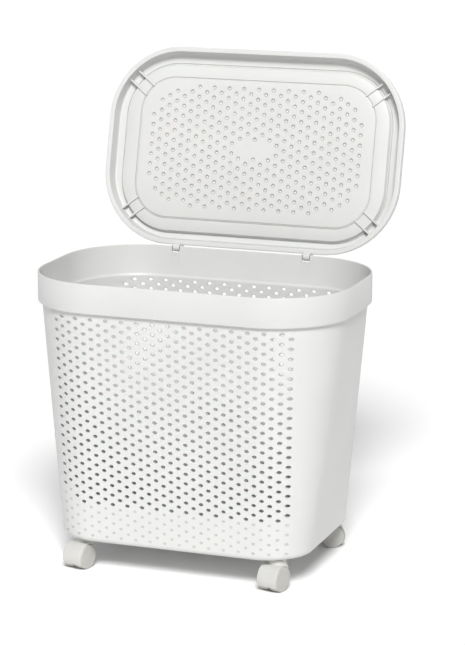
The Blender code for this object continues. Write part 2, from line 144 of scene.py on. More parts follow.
# ---------------------------------------------------------------- casters
CASTERS = {                     # corner of the tub, and the way the caster points at rest
    "caster_front_left": (-1, -1, 166.0),
    "caster_front_right": (1, -1, 166.0),
    "caster_back_right": (1, 1, 295.0),
    "caster_back_left": (-1, 1, 215.0),
}
STEM_R = 4.0 * MM
WHEEL_R = 18.5 * MM
WHEEL_INNER = 2.4 * MM
WHEEL_OUTER = 17.2 * MM
WHEEL_ROUND = 2.2 * MM
WHEEL_STEPS = 64
AXLE_R = 2.0 * MM
AXLE_HALF = 14.0 * MM
AXLE_TRAIL = 10.0 * MM
WEB_HALF = 2.0 * MM
HOOD_R = 20.4 * MM
HOOD_CAVITY_R = 19.0 * MM
HOOD_HALF = 16.0 * MM
HOOD_ROUND = 1.3 * MM
HOOD_CUT_DEG = 16.0
HOOD_CUT = 4.5 * MM
TURRET_BORE = 38.0 * MM
# (radius, height) up the neck from inside the barrel
NECK = ((15.4 * MM, 32.0 * MM), (15.1 * MM, 34.0 * MM), (14.0 * MM, 37.0 * MM), (12.8 * MM, 39.4 * MM),
        (12.0 * MM, 41.4 * MM), (11.7 * MM, 43.2 * MM), (11.6 * MM, 44.6 * MM), (11.3 * MM, 45.1 * MM),
        (10.8 * MM, 45.3 * MM))

# ---------------------------------------------------------------- studio
CAMERA_AZIMUTH = 20.26
CAMERA_ELEVATION = 12.97
CAMERA_DISTANCE = 3.803
CAMERA_AIM = Vector((43.2 * MM, TUB_Y, 361.4 * MM))
CAMERA_LENS = 144.9
FLOOR_FLAT = 9.0                # metres out from the middle to where the floor starts to curve up
FLOOR_CURVE = 6.0


# ---------------------------------------------------------------- materials
def plastic(name, colour, shade, roughness, grain, cloud=9.0):
    """Moulded plastic: a faint drift of tone, a fine satin grain and slow waviness in the gloss."""
    material = bpy.data.materials.new(name)
    material.use_nodes = True
    nodes, links = material.node_tree.nodes, material.node_tree.links
    shader = nodes["Principled BSDF"]
    place = nodes.new("ShaderNodeTexCoord")

    drift = nodes.new("ShaderNodeTexNoise")
    drift.inputs["Scale"].default_value = cloud
    drift.inputs["Detail"].default_value = 3.0
    links.new(place.outputs["Object"], drift.inputs["Vector"])
    tone = nodes.new("ShaderNodeValToRGB")
    tone.color_ramp.elements[0].position = 0.35
    tone.color_ramp.elements[0].color = (*shade, 1)
    tone.color_ramp.elements[1].position = 0.65
    tone.color_ramp.elements[1].color = (*colour, 1)
    links.new(drift.outputs["Fac"], tone.inputs["Fac"])
    links.new(tone.outputs["Color"], shader.inputs["Base Color"])

    fine = nodes.new("ShaderNodeTexNoise")
    fine.inputs["Scale"].default_value = 900.0
    fine.inputs["Detail"].default_value = 2.0
    links.new(place.outputs["Object"], fine.inputs["Vector"])
    sheen = nodes.new("ShaderNodeMapRange")
    sheen.inputs["To Min"].default_value = roughness - 0.05
    sheen.inputs["To Max"].default_value = roughness + 0.05
    links.new(fine.outputs["Fac"], sheen.inputs["Value"])
    links.new(sheen.outputs["Result"], shader.inputs["Roughness"])

    wave = nodes.new("ShaderNodeTexNoise")
    wave.inputs["Scale"].default_value = 14.0
    wave.inputs["Detail"].default_value = 1.0
    links.new(place.outputs["Object"], wave.inputs["Vector"])
    relief = nodes.new("ShaderNodeMath")
    relief.operation = "MULTIPLY_ADD"
    relief.inputs[1].default_value = 6.0
    links.new(wave.outputs["Fac"], relief.inputs[0])
    links.new(fine.outputs["Fac"], relief.inputs[2])
    bump = nodes.new("ShaderNodeBump")
    bump.inputs["Strength"].default_value = grain
    bump.inputs["Distance"].default_value = 0.1 * MM
    links.new(relief.outputs["Value"], bump.inputs["Height"])
    links.new(bump.outputs["Normal"], shader.inputs["Normal"])

    shader.inputs["IOR"].default_value = 1.49
    shader.inputs["Specular IOR Level"].default_value = 0.42
    shader.inputs["Subsurface Weight"].default_value = 0.05
    shader.inputs["Subsurface Scale"].default_value = 4 * MM
    return material


def steel(name):
    """Bright steel with fine turning marks."""
    material = bpy.data.materials.new(name)
    material.use_nodes = True
    nodes, links = material.node_tree.nodes, material.node_tree.links
    shader = nodes["Principled BSDF"]
    place = nodes.new("ShaderNodeTexCoord")
    marks = nodes.new("ShaderNodeTexNoise")
    marks.inputs["Scale"].default_value = 600.0
    marks.inputs["Detail"].default_value = 4.0
    links.new(place.outputs["Object"], marks.inputs["Vector"])
    tone = nodes.new("ShaderNodeValToRGB")
    tone.color_ramp.elements[0].color = (0.42, 0.42, 0.43, 1)
    tone.color_ramp.elements[1].color = (0.68, 0.68, 0.69, 1)
    links.new(marks.outputs["Fac"], tone.inputs["Fac"])
    links.new(tone.outputs["Color"], shader.inputs["Base Color"])
    rough = nodes.new("ShaderNodeMapRange")
    rough.inputs["To Min"].default_value = 0.22
    rough.inputs["To Max"].default_value = 0.38
    links.new(marks.outputs["Fac"], rough.inputs["Value"])
    links.new(rough.outputs["Result"], shader.inputs["Roughness"])
    shader.inputs["Metallic"].default_value = 1.0
    return material


# name, colour, shade, roughness and grain
WHITE = plastic("white_polypropylene", (0.612, 0.614, 0.604), (0.597, 0.60, 0.59), 0.42, 0.12)
CASTER_WHITE = plastic("caster_nylon", (0.55, 0.545, 0.525), (0.53, 0.525, 0.505), 0.38, 0.15, cloud=40.0)
# The wheels get a darker copy of the caster nylon: painted shade on the wheel faces
SHADED_WHEEL_NYLON = plastic("wheel_nylon_painted_shade", (0.46, 0.45, 0.425), (0.44, 0.43, 0.405), 0.45, 0.2, cloud=40.0)
# A darker copy of the white plastic for hole walls, dimples and the lid's grooves: painted shade, not dust
PAINTED_SHADE = plastic("painted_shade_polypropylene", (0.49, 0.49, 0.475), (0.43, 0.43, 0.415), 0.6, 0.3, cloud=60.0)
STEEL = steel("turned_steel")


# ---------------------------------------------------------------- mesh tools
def add_piece(name, bm, materials, body, replaced):
    """Turn a mesh under construction into a piece that rides on a body in place of a CAD node."""
    bmesh.ops.remove_doubles(bm, verts=bm.verts, dist=2e-6)
    bmesh.ops.recalc_face_normals(bm, faces=bm.faces)
    mesh = bpy.data.meshes.new(name)
    bm.to_mesh(mesh)
    bm.free()
    for material in materials:
        mesh.materials.append(material)
    mesh.shade_smooth()
    mesh.set_sharp_from_angle(angle=math.radians(SHARP_DEG))
    obj = bpy.data.objects.new(name, mesh)
    bpy.context.scene.collection.objects.link(obj)
    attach(obj, body)
    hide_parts(replaced)
    return obj


def add_ring(bm, points):
    return [bm.verts.new(point) for point in points]


def bridge(bm, lower, upper, skip=(), slot=0):
    """Quads between two like closed rings, but not from a column in skip to the next."""
    count = len(lower)
    for i in range(count):
        if i not in skip:
            j = (i + 1) % count
            bm.faces.new((lower[i], lower[j], upper[j], upper[i])).material_index = slot


def chain(bm, rings, skip=(), slot=0):
    loops = [add_ring(bm, ring) for ring in rings]
    for lower, upper in zip(loops, loops[1:]):
        bridge(bm, lower, upper, skip, slot)
    return loops


def pierced_sheet(outline, holes, loose=()):
    """Triangles of a flat outline around its holes, as points and index triples."""
    points = [Vector(p[:2]) for p in outline]
    faces = [list(range(len(points)))]
    for hole in holes:
        faces.append(list(range(len(points), len(points) + len(hole))))
        points += [Vector(p[:2]) for p in hole]
    points += [Vector(p[:2]) for p in loose]
    found, _, triangles, _, _, owners = delaunay_2d_cdt(points, [], faces, 1, 1e-7)
    kept = [t for t, owner in zip(triangles, owners) if owner == [0]]
    return found, kept


def oval(half, power=2.0, count=HOLE_POINTS):
    """Points round a rounded diamond or ellipse."""
    points = []
    for step in range(count):
        turn = math.tau * step / count
        c, s = math.cos(turn), math.sin(turn)
        points.append((half[0] * math.copysign(abs(c) ** (2 / power), c),
                       half[1] * math.copysign(abs(s) ** (2 / power), s)))
    return points


def grown(size, amount):
    return tuple(value + amount for value in size)


def booleaned(bm, cuts=(), joins=()):
    """A closed mesh after exact cuts and joins with other closed meshes, each given under construction."""
    def loose(part):
        mesh = bpy.data.meshes.new("part")
        bmesh.ops.recalc_face_normals(part, faces=part.faces)
        part.to_mesh(mesh)
        part.free()
        obj = bpy.data.objects.new("part", mesh)
        bpy.context.scene.collection.objects.link(obj)
        return obj

    base = loose(bm)
    tools = []
    for operation, parts in (("UNION", joins), ("DIFFERENCE", cuts)):
        for part in parts:
            modifier = base.modifiers.new("boolean", "BOOLEAN")
            modifier.operation = operation
            modifier.solver = "EXACT"
            modifier.object = loose(part)
            tools.append(modifier.object)
    graph = bpy.context.evaluated_depsgraph_get()
    made = bmesh.new()
    made.from_mesh(base.evaluated_get(graph).to_mesh())
    for obj in (base, *tools):
        bpy.data.objects.remove(obj)
    return made


def box(low, high):
    bm = bmesh.new()
    bmesh.ops.create_cube(bm, size=1.0)
    low, high = Vector(low), Vector(high)
    for vert in bm.verts:
        vert.co = (low + high) / 2 + Vector(a * b for a, b in zip(vert.co, high - low))
    return bm


def rod(radius, start, end, y, z, steps=32):
    """A cylinder along X."""
    bm = bmesh.new()
    bmesh.ops.create_cone(bm, cap_ends=True, segments=steps, radius1=radius, radius2=radius,
                          depth=end - start)
    place = Matrix.Translation(((start + end) / 2, y, z)) @ Matrix.Rotation(math.pi / 2, 4, "Y")
    bmesh.ops.transform(bm, matrix=place, verts=bm.verts)
    return bm


def extruded(outline, start, end):
    """A flat outline of (y, z) points drawn out along X."""
    bm = bmesh.new()
    face = bm.faces.new([bm.verts.new((start, *point)) for point in outline])
    moved = bmesh.ops.extrude_face_region(bm, geom=[face])["geom"]
    far = [item for item in moved if isinstance(item, bmesh.types.BMVert)]
    bmesh.ops.translate(bm, vec=(end - start, 0, 0), verts=far)
    return bm


def merge(bm, other):
    """Add one mesh under construction to another."""
    mesh = bpy.data.meshes.new("merged")
    other.to_mesh(mesh)
    other.free()
    bm.from_mesh(mesh)
    bpy.data.meshes.remove(mesh)


# ---------------------------------------------------------------- tub
def section(z, inset):
    """Half width, half depth and corner radius of the tub at a height."""
    part = min(1.0, max(0.0, (COLLAR_FOOT - z) / (COLLAR_FOOT - BASE_Z)))
    radius = RIM_RADIUS + (BASE_RADIUS - RIM_RADIUS) * part - inset * (1 - part)
    return (RIM_WIDTH / 2 - inset - END_TAPER * part, RIM_DEPTH / 2 - inset - SIDE_TAPER * part,
            radius)


def wall_y(x, z, inset):
    """How far the front or back wall stands from the tub's middle plane at x."""
    half_width, half_depth, radius = section(z, inset)
    over = max(0.0, abs(x) - (half_width - radius))
    return half_depth - radius + math.sqrt(max(radius ** 2 - over ** 2, 0.0))


def row_z(row):
    """Height of a row of the lattice; its first and last lines lie on the wall's own edges."""
    if row < 0:
        return TOP_ROW_Z + (LATTICE_TOP_Z - TOP_ROW_Z) * -row
    if row > LAST_DIMPLE_ROW:
        last = TOP_ROW_Z - ROW * LAST_DIMPLE_ROW
        return last + (LATTICE_FOOT_Z - last) * (row - LAST_DIMPLE_ROW)
    return TOP_ROW_Z - ROW * row


def column_x(column, z):
    return column * COLUMN * (1 - NARROWING * max(0.0, TOP_ROW_Z - z))


def wall_ring(z, inset, skin):
    """Points round the tub, with the lattice's columns on the front and back walls."""
    half_width, half_depth, radius = section(z, inset)
    spread = half_width / section(z, skin)[0]
    xs = [column_x(c, z) * spread for c in range(-LAST_COLUMN - 1, LAST_COLUMN + 2)]
    front = [Vector((x, TUB_Y - wall_y(x, z, inset), z)) for x in xs]
    back = [Vector((x, TUB_Y + wall_y(x, z, inset), z)) for x in reversed(xs)]
    first = math.asin(min(1.0, (xs[-1] - (half_width - radius)) / radius))
    arc = [first + (math.pi / 2 - first) * step / CORNER_STEPS for step in range(1, CORNER_STEPS + 1)]
    corner = [(half_width - radius + radius * math.sin(a), half_depth - radius + radius * math.cos(a))
              for a in arc]
    straight = [(half_width, (half_depth - radius) * (1 - 2 * step / END_STEPS))
                for step in range(1, END_STEPS)]
    end = corner + straight + [(x, -y) for x, y in reversed(corner)]
    right = [Vector((x, TUB_Y - y, z)) for x, y in end]
    left = [Vector((-x, TUB_Y + y, z)) for x, y in end]
    return front + right + back + left


COLUMNS = 2 * LAST_COLUMN + 3
END_POINTS = 2 * CORNER_STEPS + END_STEPS - 1
LATTICE_SPANS = {*range(COLUMNS - 1),
                 *range(COLUMNS + END_POINTS, 2 * COLUMNS + END_POINTS - 1)}


def tub_holes():
    """Middles of the through holes and of the blind dimples, as (column, row)."""
    through, blind = [], []
    for row in range(LAST_DIMPLE_ROW + 1):
        for column in range(-LAST_COLUMN, LAST_COLUMN + 1):
            if (column + row) % 2:
                continue
            if row > LAST_THROUGH_ROW or (column, row) in BLIND_EARLY:
                blind.append((column, row))
            else:
                through.append((column, row))
    return through, blind


def lattice_outline():
    """The lattice's edge in the wall's plane, through every column and row line."""
    rows = range(-1, LAST_DIMPLE_ROW + 2)
    edge = LAST_COLUMN + 1
    columns = range(-edge, edge + 1)
    top, foot = row_z(rows[0]), row_z(rows[-1])
    outline = [(column_x(c, foot), foot) for c in columns]
    outline += [(column_x(edge, row_z(r)), row_z(r)) for r in reversed(rows[:-1])]
    outline += [(column_x(c, top), top) for c in reversed(columns[:-1])]
    outline += [(column_x(-edge, row_z(r)), row_z(r)) for r in rows[1:-1]]
    return outline


def free_nodes():
    """Lattice points between the holes."""
    return [(column_x(c, row_z(r)), row_z(r))
            for r in range(0, LAST_DIMPLE_ROW + 1) for c in range(-LAST_COLUMN, LAST_COLUMN + 1)
            if (c + r) % 2]


def around(middle, shape):
    x, z = column_x(middle[0], row_z(middle[1])), row_z(middle[1])
    return [(x + dx, z + dz) for dx, dz in shape]


def add_lattice(bm, side):
    """One pierced wall: side is -1 at the front and 1 at the back."""
    def spot(point, inset, depth=0.0):
        x, z = point
        return Vector((x, TUB_Y + side * (wall_y(x, z, inset) - depth), z))

    def put(points, inset, depth=0.0):
        return add_ring(bm, [spot(p, inset, depth) for p in points])

    through, blind = tub_holes()
    mouth = oval(grown(HOLE_HALF, HOLE_CHAMFER), HOLE_POWER)
    throat = oval(HOLE_HALF, HOLE_POWER)
    rim = oval(grown(DIMPLE_HALF, DIMPLE_RIM), HOLE_POWER)
    hollow = oval(DIMPLE_HALF, HOLE_POWER)
    hollow_floor = [(x * DIMPLE_FLOOR, z * DIMPLE_FLOOR) for x, z in hollow]
    mouths = [around(middle, mouth) for middle in through]
    skins = ((BODY, mouths + [around(middle, rim) for middle in blind]), (BODY + WALL, mouths))
    blind_nodes = [(column_x(c, row_z(r)), row_z(r)) for c, r in blind]
    for inset, holes in skins:
        loose = free_nodes() if inset == BODY else free_nodes() + blind_nodes
        points, triangles = pierced_sheet(lattice_outline(), holes, loose)
        verts = put(points, inset)
        for triangle in triangles:
            bm.faces.new([verts[i] for i in triangle])
    inner = BODY + WALL
    # Hole walls and dimples take the second material, which paints shade into them
    for middle in through:
        rings = [put(around(middle, mouth), BODY), put(around(middle, throat), BODY, HOLE_CHAMFER),
                 put(around(middle, throat), inner, -HOLE_CHAMFER), put(around(middle, mouth), inner)]
        for outer, deeper in zip(rings, rings[1:]):
            bridge(bm, outer, deeper, slot=1)
    for middle in blind:
        rings = [put(around(middle, rim), BODY), put(around(middle, hollow), BODY),
                 put(around(middle, hollow_floor), BODY, DIMPLE_DEPTH)]
        for outer, deeper in zip(rings, rings[1:]):
            bridge(bm, outer, deeper, slot=1)
        bm.faces.new(rings[-1]).material_index = 1


def rounding(inset, z, radius):
    """(inset, height) pairs along a quarter turn from a flat floor into a wall."""
    pairs = []
    for step in range(EDGE_STEPS + 1):
        turn = math.pi / 2 * step / EDGE_STEPS
        pairs.append((inset + radius * (1 - math.sin(turn)), z + radius * (1 - math.cos(turn))))
    return pairs


def add_floor(bm, ring, circle_r, z):
    """A flat sheet inside a ring, pierced at the four caster bosses."""
    circles = []
    for sx, sy in ((1, 1), (-1, 1), (1, -1), (-1, -1)):
        circles.append([(sx * STEM_X + circle_r * math.cos(math.tau * i / CIRCLE_STEPS),
                         TUB_Y + sy * STEM_Y + circle_r * math.sin(math.tau * i / CIRCLE_STEPS))
                        for i in range(CIRCLE_STEPS)])
    points, triangles = pierced_sheet(ring, circles)
    verts = add_ring(bm, [(p.x, p.y, z) for p in points])
    for triangle in triangles:
        bm.faces.new([verts[i] for i in triangle])


def add_boss(bm, sx, sy, profile):
    """A stack of circles round a caster's stem line, closed by its last one."""
    rings = [[(sx * STEM_X + r * math.cos(math.tau * i / CIRCLE_STEPS),
               TUB_Y + sy * STEM_Y + r * math.sin(math.tau * i / CIRCLE_STEPS), z)
              for i in range(CIRCLE_STEPS)] for r, z in profile]
    loops = chain(bm, rings)
    bm.faces.new(loops[-1])


def collar():
    """The band round the rim, with its hinge notches, ears and pins, open at its foot."""
    half = WALL / 2
    outside = [(BODY, LATTICE_TOP_Z), (BODY, COLLAR_FOOT - 1.9 * MM),
               (BODY - 0.4 * MM, COLLAR_FOOT - 1.2 * MM), (1.0 * MM, COLLAR_FOOT - 0.2 * MM),
               (0.35 * MM, COLLAR_FOOT + 0.1 * MM), (0.0, COLLAR_FOOT + 0.9 * MM), (0.0, RIM_Z - half)]
    rim = [(half - half * math.cos(math.pi * s / 8), RIM_Z - half + half * math.sin(math.pi * s / 8))
           for s in range(1, 8)]
    inner = BODY + WALL
    inside = [(WALL, RIM_Z - half), (COLLAR_THICK, COLLAR_FOOT),
              (COLLAR_THICK + 0.3 * MM, COLLAR_FOOT - 0.9 * MM), (inner - 0.3 * MM, COLLAR_FOOT - 3.0 * MM),
              (inner, COLLAR_FOOT - 3.9 * MM), (inner, LATTICE_TOP_Z)]
    bm = bmesh.new()
    loops = chain(bm, [wall_ring(z, inset, BODY if inset <= BODY else BODY + WALL)
                       for inset, z in outside + rim + inside])
    bridge(bm, loops[-1], loops[0])
    back = TUB_Y + RIM_DEPTH / 2
    cuts, joins = [], []
    for x in (-HINGE_X, HINGE_X):
        side = NOTCH_WIDTH / 2
        cuts.append(box((x - side, back - 2 * WALL, RIM_Z - NOTCH_DEPTH),
                        (x + side, back + WALL, RIM_Z + WALL)))
        joins += [ear(x - side - HINGE_EAR, x - side), ear(x + side, x + side + HINGE_EAR)]
    made = booleaned(bm, cuts=cuts, joins=joins)
    pins = [rod(HINGE_PIN_R, x - NOTCH_WIDTH / 2 - HINGE_EAR / 2, x + NOTCH_WIDTH / 2 + HINGE_EAR / 2,
                TUB_Y + HINGE.y, HINGE.z) for x in (-HINGE_X, HINGE_X)]
    made = booleaned(made, joins=pins)
    foot = [face for face in made.faces if all(abs(v.co.z - LATTICE_TOP_Z) < 1e-6 for v in face.verts)]
    bmesh.ops.delete(made, geom=foot, context="FACES")
    return made


def ear(start, end):
    """A lug round the hinge line that reaches into the collar's back wall."""
    y, root = TUB_Y + HINGE.y, TUB_Y + RIM_DEPTH / 2 - WALL / 2
    top = RIM_Z - FIT
    outline = [(root, top), (root, HINGE.z - HINGE_EAR_R - (HINGE.y - RIM_DEPTH / 2))]
    for step in range(13):
        turn = math.radians(-90 + 15 * step)
        outline.append((y + HINGE_EAR_R * math.cos(turn), min(HINGE.z + HINGE_EAR_R * math.sin(turn), top)))
    return extruded(outline, start, end)


def make_tub():
    bm = bmesh.new()
    for skin, floor_z in ((BODY, BASE_Z), (BODY + WALL, BASE_Z + FLOOR)):
        curve = rounding(skin, floor_z, LATTICE_FOOT_Z - floor_z)
        rings = [wall_ring(z, inset, skin) for inset, z in curve]
        walls = [wall_ring(row_z(row), skin, skin) for row in range(LAST_DIMPLE_ROW + 1, -2, -1)]
        chain(bm, rings)
        chain(bm, walls, skip=LATTICE_SPANS)
        add_floor(bm, rings[0], BOSS_BORE_R if skin == BODY else BOSS_R + BOSS_FOOT, floor_z)
    for side in (-1, 1):
        add_lattice(bm, side)
    for sx, sy in ((1, 1), (-1, 1), (1, -1), (-1, -1)):
        add_boss(bm, sx, sy, [(BOSS_BORE_R, BASE_Z), (BOSS_BORE_R, BOSS_BORE_TOP)])
        floor = BASE_Z + FLOOR
        add_boss(bm, sx, sy, [(BOSS_R + BOSS_FOOT, floor), (BOSS_R + 0.6 * MM, floor + 0.6 * MM),
                              (BOSS_R, floor + BOSS_FOOT), (BOSS_R, BOSS_TOP - 1 * MM),
                              (BOSS_R - 0.3 * MM, BOSS_TOP - 0.3 * MM), (BOSS_R - 1 * MM, BOSS_TOP)])
    merge(bm, collar())
    return add_piece("tub_shell", bm, (WHITE, PAINTED_SHADE), "tub", "tub")


# ---------------------------------------------------------------- lid
# The lid is built closed, with heights from the rim, and then leans back about the hinge line.
def lid_point(x, y, z):
    return Vector((x, y, RIM_Z + z))


def lid_ring(half, z, back=0.0):
    """Points round a rounded rectangle of (half width, half depth, corner radius), back of the middle."""
    points = []
    for corner, (sx, sy) in enumerate(((1, -1), (1, 1), (-1, 1), (-1, -1))):
        for step in range(LID_CORNER_STEPS + 1):
            turn = math.radians(90 * (corner - 1) + 90 * step / LID_CORNER_STEPS)
            points.append(lid_point(sx * (half[0] - half[2]) + half[2] * math.cos(turn),
                                    sy * (half[1] - half[2]) + half[2] * math.sin(turn) + back, z))
    return points


def lid_half(inset):
    return (RIM_WIDTH / 2 - inset, RIM_DEPTH / 2 - inset, RIM_RADIUS - inset)


def step_curve(outer, inner, high, low):
    """A soft step from an outer outline of the ring or panel to an inner one, as rings of the lid."""
    rings = []
    for along, down in ((0.0, 0.0), (0.14, 0.04), (0.24, 0.16), (0.76, 0.84), (0.86, 0.96), (1.0, 1.0)):
        half = tuple(a + (b - a) * along for a, b in zip(outer, inner))
        rings.append((half, high + (low - high) * down, LID_BACK))
    return rings


def groove(half, z):
    """A fine groove up into the underside, round the outside of a step."""
    return [(grown(half, GROOVE_WIDTH * (1.25 - along)), z + GROOVE_DEPTH * up, LID_BACK)
            for along, up in ((0.0, 0), (0.2, 1), (0.8, 1), (1.0, 0))]


def lid_holes():
    """Middles of the lid's holes, as (x, y) in its plane."""
    columns, rows = LID_LAST
    found = []
    for row in range(-rows, rows + 1):
        for column in range(-columns, columns + 1):
            edge = abs(column) == columns or abs(row) == rows
            trim = LID_TRIM - 2 if edge else LID_TRIM
            if (column + row) % 2 or abs(column) + abs(row) > trim or (column, row) in LID_BLANK:
                continue
            found.append((column * COLUMN, row * LID_ROW + LID_SHIFT))
    return found


def reach(start, outward, half, back=0.0):
    """Distance along outward from start to the corner arc of a rounded rectangle's outline."""
    centre = Vector((half[0] - half[2], half[1] - half[2] + back, 0))
    along = (start - centre).dot(outward)
    aside = (start - centre).dot(Vector((-outward.y, outward.x, 0)))
    return math.sqrt(half[2] ** 2 - aside ** 2) - along


def rib(sx, sy, offset):
    """A short upright rib from the panel's corner, over the ring and the channel, to the lid's skirt."""
    outward = Vector((math.cos(math.radians(RIB_DEG)), math.sin(math.radians(RIB_DEG)), 0))
    across = Vector((-outward.y, outward.x, 0))
    back = sy * LID_BACK
    panel_x, panel_y, panel_r = LID_PANEL_HALF
    corner = Vector((panel_x - panel_r, panel_y - panel_r + back, 0))
    start = corner + outward * (panel_r + PANEL_STEP) + across * offset
    half_skin = LID_WALL / 2
    step_foot = reach(start, outward, grown(LID_RING_HALF, RING_STEP * 0.25), back)
    step_head = reach(start, outward, grown(LID_RING_HALF, RING_STEP * 1.25), back)
    far = reach(start, outward, lid_half(LID_INSET + LIP - half_skin))
    outline = [(step_foot, LID_RING_TOP - half_skin), (0, LID_RING_TOP - half_skin),
               (0, RIB_LOW + RIB_BEVEL), (RIB_BEVEL, RIB_LOW), (far, RIB_LOW),
               (far, LID_EDGE_TOP - half_skin), (step_head, LID_EDGE_TOP - half_skin)]
    bm = extruded(outline, -RIB_THICK / 2, RIB_THICK / 2)
    place = Matrix.Translation(start) @ Matrix.Rotation(math.radians(RIB_DEG - 90), 4, "Z")
    mirror = Matrix.Diagonal((sx, sy, 1, 1))
    bmesh.ops.transform(bm, matrix=Matrix.Translation((0, 0, RIM_Z)) @ mirror @ place, verts=bm.verts)
    return bm


def hook(x):
    """A ring round the hinge line with an arm up to the lid's back skirt, cut open at the back."""
    y, z = HINGE.y, HINGE.z
    arm_top = RIM_Z + HOOK_ARM_TOP
    skirt_in = RIM_DEPTH / 2 - LID_INSET - ARM_ROOT
    outline = [(y + HOOK_R * math.cos(a), z + HOOK_R * math.sin(a))
               for a in (math.radians(-180 + 7.5 * step) for step in range(33))]
    outline += [(skirt_in + ARM_THICK, arm_top), (skirt_in, arm_top), (y - HOOK_R, RIM_Z + LID_GAP)]
    ends = (x - HOOK_WIDTH, x + HOOK_WIDTH)
    bore = rod(HOOK_BORE_R, *ends, y, z)
    mouth = box((ends[0], y, z - HOOK_MOUTH / 2), (ends[1], y + 2 * HOOK_R, z + HOOK_MOUTH / 2))
    return booleaned(extruded(outline, x - HOOK_WIDTH / 2, x + HOOK_WIDTH / 2), cuts=(bore, mouth))


def make_lid():
    bm = bmesh.new()
    edge = LID_INSET + LID_EDGE_LEAN
    lip_in = LID_INSET + LIP
    outer, inner = LIP_ROUND
    turns = [math.pi / 2 * step / EDGE_STEPS for step in range(EDGE_STEPS + 1)]
    # from the lip up the outside and in to the panel
    outside = [(lid_half(lip_in - inner), LID_GAP)]
    outside += [(lid_half(LID_INSET + outer * (1 - math.sin(a))), LID_GAP + outer * (1 - math.cos(a)))
                for a in turns]
    outside += [(lid_half(edge + LID_ROUND * (1 - math.cos(a))),
                 LID_EDGE_TOP - LID_ROUND * (1 - math.sin(a))) for a in turns]
    outside += step_curve(grown(LID_RING_HALF, RING_STEP), LID_RING_HALF, LID_EDGE_TOP, LID_RING_TOP)
    outside += step_curve(grown(LID_PANEL_HALF, PANEL_STEP), LID_PANEL_HALF, LID_RING_TOP, LID_PANEL_TOP)
    # from the lip along the inside
    skin, foot = LID_WALL, lip_in + SKIRT_LEAN
    inside = [(lid_half(lip_in - inner * (1 - math.sin(a))), LID_GAP + inner * (1 - math.cos(a)))
              for a in turns[2:]]
    inside += [(lid_half(foot + LID_FILLET * (1 - math.cos(a))),
                LID_EDGE_TOP - skin - LID_FILLET * (1 - math.sin(a))) for a in turns]
    grooves = []
    for half, step, high, low in ((LID_RING_HALF, RING_STEP, LID_EDGE_TOP, LID_RING_TOP),
                                  (LID_PANEL_HALF, PANEL_STEP, LID_RING_TOP, LID_PANEL_TOP)):
        grooves += [len(inside) + 1, len(inside) + 2]
        inside += groove(grown(half, step * 1.5), high - skin)
        inside += step_curve(grown(half, step * 1.5), grown(half, step / 2), high - skin, low - skin)
    outer_loops = chain(bm, [lid_ring(*ring) for ring in outside])
    inner_loops = chain(bm, [lid_ring(*ring) for ring in inside])
    bridge(bm, outer_loops[0], inner_loops[0])
    # The grooves' faces take the second material: painted shade lines along the steps
    for vert in (v for index in grooves for v in inner_loops[index]):
        for face in vert.link_faces:
            face.material_index = 1

    centres = lid_holes()
    ease = LID_HOLE_EASE
    top, low = outside[-1][1], inside[-1][1]
    upper, lower = LID_HOLE_R
    levels = ((upper + ease, top), (upper, top - ease), (lower, low + ease), (lower + ease, low))
    for ring, mouth in ((outside[-1], levels[0][0]), (inside[-1], levels[-1][0])):
        holes = [[(x + dx, y + dy) for dx, dy in oval((mouth, mouth))] for x, y in centres]
        points, triangles = pierced_sheet(lid_ring(*ring), holes)
        verts = add_ring(bm, [lid_point(p.x, p.y, ring[1]) for p in points])
        for triangle in triangles:
            bm.faces.new([verts[i] for i in triangle])
    # The holes' walls take the second material, painted shade
    for x, y in centres:
        chain(bm, [[lid_point(x + dx, y + dy, z) for dx, dy in oval((r, r))] for r, z in levels], slot=1)
    for sx, sy in ((1, 1), (1, -1), (-1, 1), (-1, -1)):
        for offset in (-RIB_PITCH / 2, RIB_PITCH / 2):
            merge(bm, rib(sx, sy, offset))
    for x in (-HINGE_X, HINGE_X):
        merge(bm, hook(x))
    lean = Matrix.Rotation(math.radians(-LID_OPEN_DEG), 4, "X")
    place = Matrix.Translation(HINGE + Vector((0, TUB_Y, 0))) @ lean @ Matrix.Translation(-HINGE)
    bmesh.ops.transform(bm, matrix=place, verts=bm.verts)
    return add_piece("lid_shell", bm, (WHITE, PAINTED_SHADE), "lid", "lid")


# ---------------------------------------------------------------- casters
def turned(profile, steps=48):
    """A closed body from an outline of (radius, height) points that starts and ends on Z."""
    bm = bmesh.new()
    verts = [bm.verts.new((radius, 0, height)) for radius, height in profile]
    edges = [bm.edges.new(pair) for pair in zip(verts, verts[1:])]
    bmesh.ops.spin(bm, geom=verts + edges, axis=(0, 0, 1), cent=(0, 0, 0), angle=math.tau, steps=steps,
                   use_merge=True)
    bmesh.ops.remove_doubles(bm, verts=bm.verts, dist=1e-6)
    return bm


def rounded_edge(radius, height, round_r, steps=5):
    """(radius, height) points over an outer edge, from the top face down onto the side."""
    return [(radius - round_r * (1 - math.sin(a)), height - round_r * (1 - math.cos(a)))
            for a in (math.pi / 2 * step / steps for step in range(steps + 1))]


